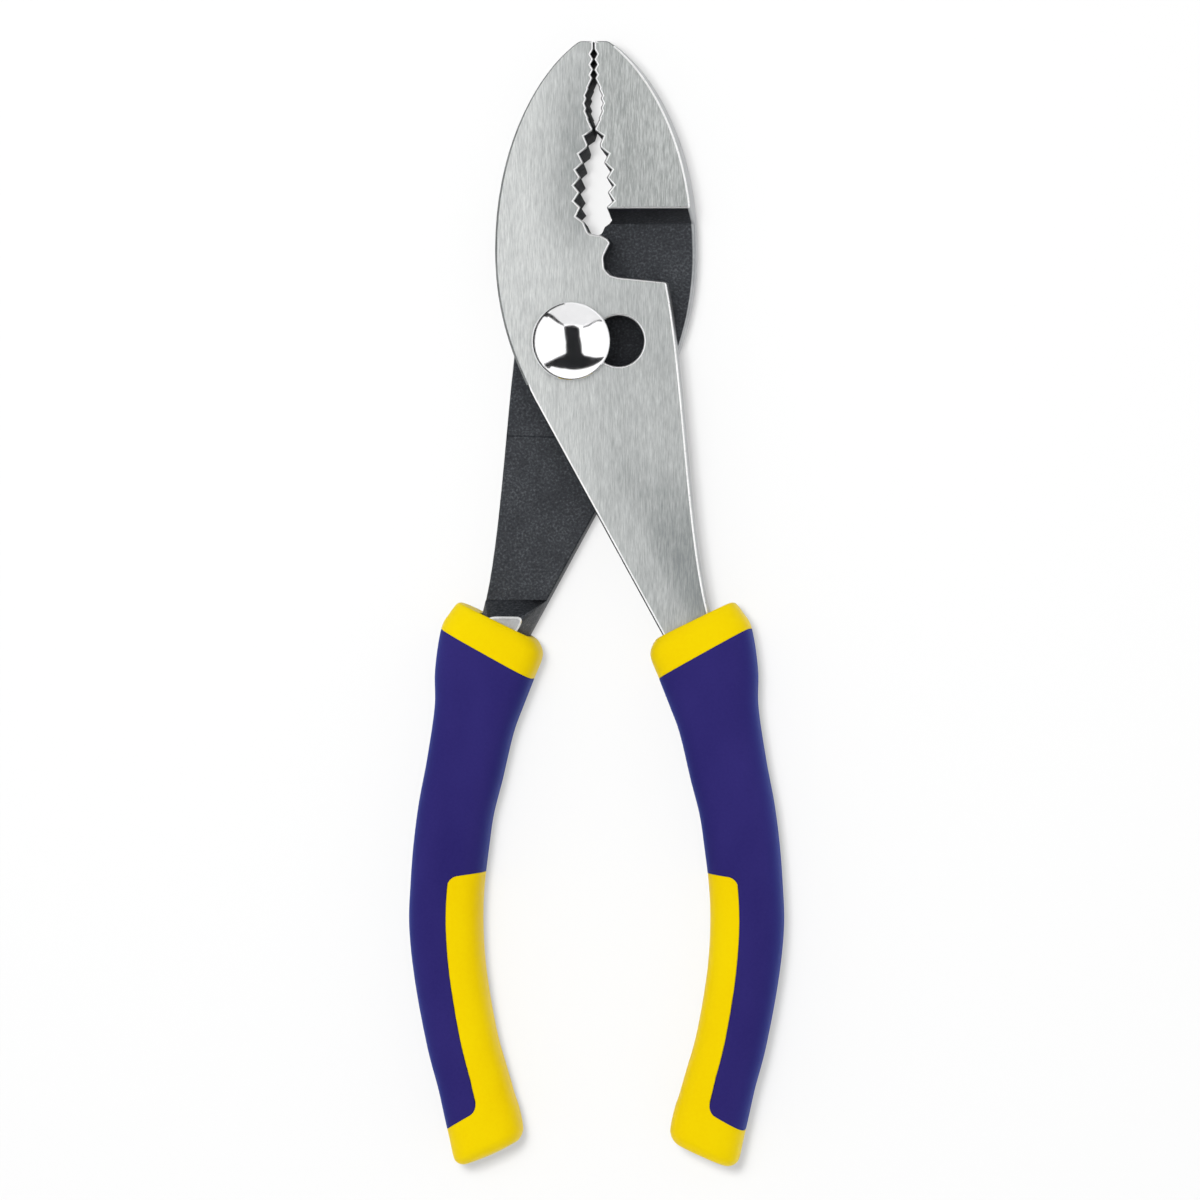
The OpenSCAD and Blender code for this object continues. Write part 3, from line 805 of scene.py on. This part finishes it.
bolt = make_object("pivot_bolt_domed", bolt_mesh(), [bolt_chrome], 40)
placed(bolt, "pivot", "bolt_chrome", "pivot_bolt")
nut = make_object("pivot_nut_hex", nut_mesh(), [nut_steel], 25)
placed(nut, "pivot", "nut_steel", "pivot_nut")


# Grips: one smooth skin, shared by the hard core and the soft sleeve. A place is a station number along the
# grip, with parts between stations, and an angle goes round the section from its outer side.

# At each station: the middle, as shares of the reach sideways and the length, the shares of the width and the
# thickness, the tilt in degrees and how square the section is
CORE_LENGTH, TOP_TO_FIRST = 101.946, 0.397
UNIT = (core_hi.y - core_lo.y) / CORE_LENGTH
GRIP_TOP = core_hi.y - TOP_TO_FIRST * UNIT
SIDE_REACH, GRIP_LENGTH = 27.3 * UNIT, 101.2 * UNIT
COLLAR_W, GRIP_W = 18.8 * UNIT, 13.3 * UNIT
MIDDLES = [
    (0.654, 0.03), (0.665, 0.053), (0.724, 0.089), (0.781, 0.151), (0.815, 0.208), (0.876, 0.295),
    (0.941, 0.378), (0.987, 0.488), (1.0, 0.57), (0.97, 0.665), (0.896, 0.776), (0.822, 0.85),
    (0.772, 0.904), (0.743, 0.932), (0.716, 0.965), (0.702, 0.981)]
COLLAR_WIDTHS = [0.833, 0.964, 1.0, 0.904, 0.787]
GRIP_WIDTHS = [1.045, 1.008, 1.01, 0.992, 0.962, 0.947, 0.955, 1.015, 1.03, 1.0, 0.84]
THICKS = [0.8, 0.95, 1, 0.985, 0.96, 0.95, 0.96, 0.99, 1, 0.99, 0.97, 0.97, 0.98, 0.97, 0.93, 0.72]
TILTS = [26, 25.5, 29, 23, 19.5, 15, 10, -8, -8.5, -13, -16, -19, -30, -28, -25, -24]
POWERS = [3.6, 3.6, 3.5, 3.3, 3.2] + [3.1] * 11
MIDDLE_X = [-SIDE_REACH * share for share, _ in MIDDLES]
MIDDLE_Y = [GRIP_TOP - GRIP_LENGTH * share for _, share in MIDDLES]
HALF_W = [COLLAR_W * share / 2 for share in COLLAR_WIDTHS] + [GRIP_W * share / 2 for share in GRIP_WIDTHS]
HALF_T = [share * (core_hi.z - core_lo.z) / 2 for share in THICKS]

# Where the colours change, and the angle and swing of the palm strip's side line
COLLAR, PALM, HEEL, LAST = 2.0, 7.0, 12.0, 15.0
PALM_ANGLE, PALM_SWING = 92.2, 1.7
CORNER = 1.6 * MM

SKIN_T, SKIN_RIM = 0.8 * MM, 0.12 * MM
COLLAR_LIP, LIP_REACH, MOUTH_GAP = 0.12 * MM, 1.0 * MM, 0.12 * MM
TANG_REACH = 12 * MM
COLLAR_FILLET, HEEL_FILLET, HEEL_BULGE = 0.5 * MM, 0.8 * MM, 0.3 * MM
MOUTH_POWER = 9
MOUTH_WALL = [(5 * MM, 0.0), (0.35 * MM, 0.0), (0.1 * MM, 0.08 * MM)]  # depth and widening
MESH_ANGLE, LEAST_ANGLE = 4, 2.5  # degrees between the skin's lines
FILLET_TURNS = [radians(18 * k) for k in range(6)]
END_SHARES = (0.8, 0.6, 0.4, 0.2, 0.0)  # of the end's radius, for its rings
BY_PALM, ABOVE_HEEL, BELOW_HEEL = 0.3, 0.7, 0.4  # stations with finer rows
END_ROWS, UPPER_ROWS, LOWER_ROWS, TAIL_ROWS, COLLAR_ROWS = 8, 44, 42, 22, 20


def smooth(values, place):
    """The value at a place, on a smooth curve through the values at the stations."""
    i = min(int(place), len(values) - 2)
    t = place - i
    a, b, c, d = (values[max(0, min(len(values) - 1, k))] for k in (i - 1, i, i + 1, i + 2))
    return (b + t * (c - a) / 2 + t ** 2 * (2 * a - 5 * b + 4 * c - d) / 2
            + t ** 3 * (3 * b - a - 3 * c + d) / 2)


def rounded(value, power):
    return copysign(abs(value) ** (2 / power), value)


def middle_of(place):
    return Vector((smooth(MIDDLE_X, place), smooth(MIDDLE_Y, place), 0))


def across_of(place):
    tilt = radians(smooth(TILTS, place))
    return Vector((-cos(tilt), sin(tilt), 0))


def along_of(place):
    sideways = across_of(place)
    return Vector((-sideways.y, sideways.x, 0))


def swung(place, angle):
    """The section angle in radians. Below the palm's top it swings outwards, so the palm strip widens."""
    turn = radians(angle)
    share = max(0.0, min(1.0, (place - PALM) / (HEEL - PALM)))
    return turn - radians(PALM_SWING) * share ** 2 * (3 - 2 * share) * sin(turn) * abs(sin(turn))


def side_of(place, angle, inset=0.0):
    return (smooth(HALF_W, place) - inset) * rounded(cos(swung(place, angle)), smooth(POWERS, place))


def skin(place, angle, inset=0.0):
    """A point of the grip's skin, or of a skin inside it."""
    height = (smooth(HALF_T, place) - inset) * rounded(sin(swung(place, angle)), smooth(POWERS, place))
    point = middle_of(place) + across_of(place) * side_of(place, angle, inset)
    return Vector((point.x, point.y, height))


def station_length(place):
    """Length of one station step near a place."""
    a, b = max(0.0, place - 0.1), min(LAST, place + 0.1)
    return (middle_of(b) - middle_of(a)).length / (b - a)


def angle_of(side):
    """The section angle at a distance from the middle, at the palm's top."""
    share = max(-1.0, min(1.0, side / smooth(HALF_W, PALM)))
    return degrees(acos(copysign(abs(share) ** (POWERS[int(PALM)] / 2), share)))


# Angles of the skin's lines, close together beside the palm strip's rounded corners
LINE_GAPS = [0.0, 0.02, 0.05, 0.09, 0.14, 0.2, 0.28, 0.38, 0.5, 0.72, 1.0, 1.3, 1.6, 2.0, 2.4]
line_side = side_of(PALM, PALM_ANGLE)
inner_quarter = [angle_of(line_side - gap * MM) for gap in LINE_GAPS]
inner_quarter += [a for a in range(0, 181, MESH_ANGLE) if a > inner_quarter[-1] + LEAST_ANGLE]
outer_quarter = [angle_of(line_side + gap * MM) for gap in LINE_GAPS]
outer_quarter += [a for a in range(180, -1, -MESH_ANGLE) if a < outer_quarter[-1] - LEAST_ANGLE]
inner_angles = inner_quarter + [360 - a for a in reversed(inner_quarter[:-1])]
outer_angles = [-a for a in outer_quarter[:-1]] + list(reversed(outer_quarter))
all_angles = outer_angles[:-1] + inner_angles[:-1]

palm_step, heel_step = station_length(PALM), station_length(HEEL)
palm_low, heel_high = PALM + CORNER / palm_step, HEEL - CORNER / heel_step


def corner_draw(place, angle):
    """How far a rounded colour corner at a place draws the boundary at a section angle."""
    gap = abs(side_of(place, angle) - side_of(place, PALM_ANGLE))
    return CORNER - sqrt(max(0.0, CORNER ** 2 - (CORNER - gap) ** 2)) if gap < CORNER else 0.0


def palm_end(angle):
    return PALM + corner_draw(PALM, angle) / palm_step


def heel_end(angle):
    return HEEL - corner_draw(HEEL, angle) / heel_step


def skin_column(angle, top, *runs):
    """Points down the skin at one angle, from a top place. A run is its end and its count of steps."""
    points = [skin(top, angle)]
    for end, count in runs:
        points += [skin(top + (end - top) * k / count, angle) for k in range(1, count + 1)]
        top = end
    return points


def add_sheet(bm, columns, wrap=False):
    """Faces between neighbouring columns of points."""
    made = [[bm.verts.new(p) for p in column] for column in columns]
    pairs = list(zip(made, made[1:])) + ([(made[-1], made[0])] if wrap else [])
    for a, b in pairs:
        for k in range(len(a) - 1):
            bm.faces.new((a[k], a[k + 1], b[k + 1], b[k]))


def outward(bm):
    """Welds the sheets and turns their faces outwards."""
    bmesh.ops.remove_doubles(bm, verts=bm.verts, dist=1e-7)
    bmesh.ops.recalc_face_normals(bm, faces=bm.faces)
    score = sum(f.normal.z * f.calc_center_median().z * f.calc_area() for f in bm.faces)
    if score < 0:
        bmesh.ops.reverse_faces(bm, faces=bm.faces)


def with_rim(obj):
    """Gives a skin its thickness inwards and a rounded rim."""
    modified(obj, "thick", "SOLIDIFY", thickness=SKIN_T, offset=-1, use_even_offset=True)
    modified(
        obj, "rim", "BEVEL", width=SKIN_RIM, segments=2, limit_method="ANGLE", angle_limit=radians(60),
        use_clamp_overlap=False)
    return applied(obj, 50)


def sleeve_mesh():
    """The soft sleeve's skin: all round above the palm strip, and round its outer side beside the strip."""
    bm = bmesh.new()
    upper = (PALM - BY_PALM, UPPER_ROWS)
    beside = [(palm_low, END_ROWS), (HEEL - ABOVE_HEEL, LOWER_ROWS)]
    add_sheet(bm, [
        skin_column(angle, COLLAR, upper, *beside, (heel_end(angle), END_ROWS)) for angle in outer_angles])
    add_sheet(bm, [skin_column(angle, COLLAR, upper, (palm_end(angle), END_ROWS)) for angle in inner_angles])
    outward(bm)
    return bm


def palm_mesh():
    """The hard core's skin below the collar: the palm strip, and the heel with its rounded end."""
    bm = bmesh.new()
    end_step = station_length(LAST)
    end_middle, end_along = middle_of(LAST), along_of(LAST)
    cap = [(LAST - HEEL_FILLET * (1 - sin(turn)) / end_step, HEEL_FILLET * (1 - cos(turn)))
           for turn in FILLET_TURNS]

    def column(angle, top, *runs):
        """Points from a top place to the middle of the grip's end."""
        points = skin_column(angle, top, *runs, (HEEL + BELOW_HEEL, END_ROWS), (cap[0][0], TAIL_ROWS))
        points += [skin(p, angle, inset) for p, inset in cap[1:]]
        last = points[-1]
        for share in END_SHARES:
            lift = end_along * (HEEL_BULGE * (1 - share ** 2))
            points.append(end_middle + (last - end_middle) * share + lift)
        return points

    strip = [(palm_low + BY_PALM, END_ROWS), (heel_high, LOWER_ROWS)]
    add_sheet(bm, [column(angle, palm_end(angle), *strip) for angle in inner_angles])
    add_sheet(bm, [column(angle, heel_end(angle)) for angle in outer_angles])
    outward(bm)
    return bm


def tang_span():
    """Extent of the rear tang across and through the plane of the collar's top."""
    origin = middle_of(0) + Vector((centre_x, 0, z_mid))
    normal, sideways = along_of(0), across_of(0)
    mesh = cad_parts["rear_half"].data
    sides, heights = [], []
    for e in mesh.edges:
        a, b = (mesh.vertices[k].co - origin for k in e.vertices)
        da, db = a.dot(normal), b.dot(normal)
        if da * db < 0:
            p = a.lerp(b, da / (da - db))
            if abs(p.dot(sideways)) < TANG_REACH:
                sides.append(p.dot(sideways))
                heights.append(p.z)
    return min(sides), max(sides), max(heights)


def collar_mesh():
    """The hard core's collar, with a mouth that fits the tang and a lip over the sleeve's end."""
    bm = bmesh.new()
    step = station_length(0.0)
    lip = COLLAR_LIP / station_length(COLLAR)
    span_in, span_out, span_z = tang_span()
    mouth_mid, mouth_half = (span_in + span_out) / 2, (span_out - span_in) / 2 + MOUTH_GAP
    top_middle, top_across, top_along = middle_of(0), across_of(0), along_of(0)

    def mouth(angle, deep, wider):
        """A point of the mouth's wall, at a depth from the collar's top."""
        turn = radians(angle)
        side = mouth_mid + (mouth_half + wider) * rounded(cos(turn), MOUTH_POWER)
        height = (span_z + MOUTH_GAP + wider) * rounded(sin(turn), MOUTH_POWER)
        point = top_middle + top_across * side + top_along * deep
        return Vector((point.x, point.y, height))

    columns = []
    for angle in all_angles:
        points = [mouth(angle, deep, wider) for deep, wider in MOUTH_WALL]
        for turn in reversed(FILLET_TURNS):
            place = COLLAR_FILLET * (1 - sin(turn)) / step
            points.append(skin(place, angle, COLLAR_FILLET * (1 - cos(turn))))
        points += skin_column(angle, COLLAR_FILLET / step, (COLLAR - lip, COLLAR_ROWS))[1:]
        points.append(skin(COLLAR - 0.3 * lip, angle, COLLAR_LIP / 3))
        points += [skin(COLLAR, angle, inset) for inset in (COLLAR_LIP, LIP_REACH)]
        columns.append(points)
    add_sheet(bm, columns, wrap=True)
    outward(bm)
    return bm


turn_over = Matrix.Rotation(pi, 4, "Y")
for hand, body, flip in (("left", "rear", False), ("right", "front", True)):
    place = Matrix.Translation((centre_x, 0, z_mid)) @ (turn_over if flip else Matrix.Identity(4))
    sleeve = with_rim(make_object(hand + "_sleeve_soft", sleeve_mesh(), [blue]))
    palm = with_rim(make_object(hand + "_palm_hard", palm_mesh(), [yellow]))
    collar = make_object(hand + "_collar_hard", collar_mesh(), [yellow], 50)
    for piece in (sleeve, palm, collar):
        piece.data.transform(place)
    placed(sleeve, body, "grip_blue", hand + "_grip_sleeve")
    placed(palm, body, "grip_yellow", hand + "_grip_core")
    placed(collar, body, "grip_yellow", hand + "_grip_core")


# Floor, light and camera

# The photograph's size and scale, and the pixel at the pivot
PHOTO_SIZE, PIXEL = 1200, 0.18 * MM
PIVOT_X, PIVOT_Y = 570.8, 341
CAMERA_LEAN = radians(6)
CAMERA_AWAY = 1.6
SENSOR = 36

FLOOR_REACH, FLOOR_GAP = 6.0, 0.02 * MM
FLOOR_SENT, FLOOR_SHOWN, FLOOR_GLOW = (0.27, 0.27, 0.27, 1), (0.15, 0.15, 0.15, 1), 0.47
TENT_LIGHT, TENT_SHOWN, ROOF_SHOWN = 0.78, 1.0, 1.3
CARD_H, LEAST_RISE = 0.9, 0.12

aim = Vector(((PHOTO_SIZE / 2 - PIVOT_X) * PIXEL, (PIVOT_Y - PHOTO_SIZE / 2) * PIXEL, z_front))
to_camera = Vector((sin(CAMERA_LEAN), 0, cos(CAMERA_LEAN)))


def view_ray(tree):
    """1 for rays that show a background: from the camera, in a reflection or through glass."""
    path = add(tree, "ShaderNodeLightPath").outputs
    shown = joined("MAXIMUM", path["Is Camera Ray"], path["Is Glossy Ray"])
    return joined("MAXIMUM", shown, path["Is Transmission Ray"])


def cleared(owner):
    """The node tree of a material or a world, emptied."""
    owner.use_nodes = True
    owner.node_tree.nodes.clear()
    return owner.node_tree


def hidden_from(obj, *rays):
    for ray in rays:
        setattr(obj, "visible_" + ray, False)


def floor_material():
    """White paint: one grey for the light it sends on, and another with a glow for the rays that show it."""
    mat = bpy.data.materials.new("floor_white")
    tree = cleared(mat)
    grey = add(tree, "ShaderNodeMix", data_type="RGBA")
    grey.inputs[COLOUR_A].default_value = FLOOR_SENT
    grey.inputs[COLOUR_B].default_value = FLOOR_SHOWN
    link(view_ray(tree), grey.inputs[MIX_SHARE])
    paint = add(tree, "ShaderNodeBsdfDiffuse")
    link(grey.outputs[COLOUR_OUT], paint.inputs["Color"])
    glow = add(tree, "ShaderNodeEmission", Color=WHITE)
    link(faded(view_ray(tree), 0.0, FLOOR_GLOW), glow.inputs["Strength"])
    both = add(tree, "ShaderNodeAddShader")
    link(paint.outputs[0], both.inputs[0])
    link(glow.outputs[0], both.inputs[1])
    out = add(tree, "ShaderNodeOutputMaterial")
    link(both.outputs[0], out.inputs["Surface"])
    return mat


bm = bmesh.new()
corners = ((-1, -1), (1, -1), (1, 1), (-1, 1))
bm.faces.new([bm.verts.new((x * FLOOR_REACH, y * FLOOR_REACH, 0)) for x, y in corners])
floor = make_object("floor", bm, [floor_material()])
floor.location = (centre_x, (cad_lo.y + cad_hi.y) / 2, cad_lo.z - FLOOR_GAP)

scene.world = bpy.data.worlds.new("studio")
tree = cleared(scene.world)
light = add(tree, "ShaderNodeBackground", Color=WHITE, Strength=TENT_LIGHT)
shown = add(tree, "ShaderNodeBackground", Color=WHITE, Strength=TENT_SHOWN)
mix = add(tree, "ShaderNodeMixShader")
out = add(tree, "ShaderNodeOutputWorld")
link(view_ray(tree), mix.inputs["Fac"])
link(light.outputs[0], mix.inputs[1])
link(shown.outputs[0], mix.inputs[2])
link(mix.outputs[0], out.inputs["Surface"])


def softbox(name, spot, size, watts):
    """A square lamp that looks at the picture's middle and isn't seen itself."""
    lamp = bpy.data.lights.new(name, "AREA")
    lamp.shape = "RECTANGLE"
    lamp.size = lamp.size_y = size
    lamp.energy = watts
    obj = bpy.data.objects.new(name, lamp)
    obj.location = spot
    obj.rotation_euler = (aim - Vector(spot)).to_track_quat("-Z", "Y").to_euler()
    hidden_from(obj, "camera", "glossy")
    scene.collection.objects.link(obj)
    return obj


softbox("key", (-0.20, 0.16, 1.2), 0.18, 3.9)

# A second lamp for the floor alone, which gives the tool its narrow shadow
floor_lamp = softbox("floor_lamp", (-0.03, 0.06, 1.2), 0.2, 37.0)
floor_only = bpy.data.collections.new("floor_only")
floor_only.objects.link(floor)
floor_lamp.light_linking.receiver_collection = floor_only


def card(name, points, faces, mat):
    """A piece of the light tent that only reflections show."""
    bm = bmesh.new()
    made = [bm.verts.new(p) for p in points]
    for f in faces:
        bm.faces.new([made[k] for k in f])
    obj = make_object(name, bm, [mat])
    hidden_from(obj, "camera", "diffuse", "shadow", "transmission")


def seen_in_dome(x, y):
    """The point overhead that the dome shows at a place on it, given in shares of its radius."""
    nx, ny = x * head_r / dome_r, y * head_r / dome_r
    normal = Vector((nx, ny, sqrt(1 - nx * nx - ny * ny)))
    ray = normal * (2 * normal.dot(to_camera)) - to_camera
    return Vector((x * head_r, y * head_r, bolt_hi.z)) + ray * (CARD_H / max(ray.z, LEAST_RISE))


def circle(radius, height, turns):
    """Points of a circle about the pivot's axis, at angles in degrees."""
    return [Vector((radius * cos(radians(turn)), radius * sin(radians(turn)), height)) for turn in turns]


def dome_card(name, places, mat):
    card(name, [seen_in_dome(x, y) for x, y in places], [range(len(places))], mat)


def glowing(name, strength):
    return start(
        name, Base_Color=(0, 0, 0, 1), Specular_IOR_Level=0.0, Emission_Color=WHITE,
        Emission_Strength=strength)[0]


# Black cards, with their outlines as the dome shows them
BLACK_CARDS = {
    "card_bar": [
        (-0.13, 0.38), (0.11, 0.41), (0.25, 0.34), (0.27, 0.14), (0.31, -0.03), (0.32, -0.28), (-0.08, -0.31),
        (-0.08, -0.03), (-0.12, 0.26)],
    "card_front": [
        (-0.08, -0.30), (0.32, -0.28), (0.38, -0.35), (0.67, -0.40), (0.87, -0.38), (0.85, -0.43),
        (0.64, -0.58), (0.38, -0.68), (0.15, -0.715), (-0.10, -0.69), (-0.46, -0.62), (-0.54, -0.68),
        (-0.65, -0.62), (-0.67, -0.55), (-0.30, -0.395)],
    "card_left": [
        (-0.13, 0.43), (-0.27, 0.53), (-0.45, 0.69), (-0.55, 0.73), (-0.55, 0.64), (-0.32, 0.48),
        (-0.14, 0.385)],
    "card_right": [
        (0.34, 0.365), (0.46, 0.42), (0.67, 0.55), (0.82, 0.56), (0.82, 0.51), (0.67, 0.51), (0.48, 0.385),
        (0.35, 0.34)],
    "card_corner": [(-0.69, 0.65), (-0.58, 0.73), (-0.50, 0.70), (-0.57, 0.61)],
}
black = start("card_black", Base_Color=(0.03, 0.031, 0.034, 1), Roughness=0.9, Specular_IOR_Level=0.0)[0]
for name, places in BLACK_CARDS.items():
    dome_card(name, places, black)

# A low dark wall far off to the left and in front
WALL_AWAY, WALL_H, WALL_TURNS = 2.4, 0.36, range(105, 321, 5)
wall = circle(WALL_AWAY, 0.0, WALL_TURNS) + circle(WALL_AWAY, WALL_H, WALL_TURNS)
above = len(WALL_TURNS)
card("card_wall", wall, [(k, k + 1, k + 1 + above, k + above) for k in range(above - 1)], black)

# The tent's bright roof above the black cards, and two duller patches of it
ROOF_R, ROOF_Z = 12, 1.9
roof = circle(ROOF_R, ROOF_Z, range(0, 360, 6))
card("card_roof", roof, [range(len(roof))], glowing("card_roof", ROOF_SHOWN))
DULL_CARDS = {
    "card_cap": (0.93, [
        (-0.52, 0.72), (-0.14, 0.44), (0.34, 0.40), (0.80, 0.57), (0.68, 0.70), (0.45, 0.86), (0.0, 0.96),
        (-0.33, 0.91)]),
    "card_crescent": (0.78, [
        (-0.80, 0.55), (-0.86, 0.2), (-0.88, -0.2), (-0.80, -0.5), (-0.84, -0.52), (-0.96, -0.2),
        (-0.97, 0.1), (-0.92, 0.35)]),
}
for name, (strength, places) in DULL_CARDS.items():
    dome_card(name, places, glowing(name, strength))

camera = bpy.data.objects.new("camera", bpy.data.cameras.new("camera"))
camera.data.sensor_width = SENSOR
camera.data.lens = SENSOR * CAMERA_AWAY / (PHOTO_SIZE * PIXEL)
camera.data.clip_start, camera.data.clip_end = 0.05, 50
camera_right = Vector((cos(CAMERA_LEAN), 0, -sin(CAMERA_LEAN)))
camera_axes = Matrix((camera_right, to_camera.cross(camera_right), to_camera)).transposed().to_4x4()
camera.matrix_world = Matrix.Translation(aim + to_camera * CAMERA_AWAY) @ camera_axes
scene.collection.objects.link(camera)
scene.camera = camera
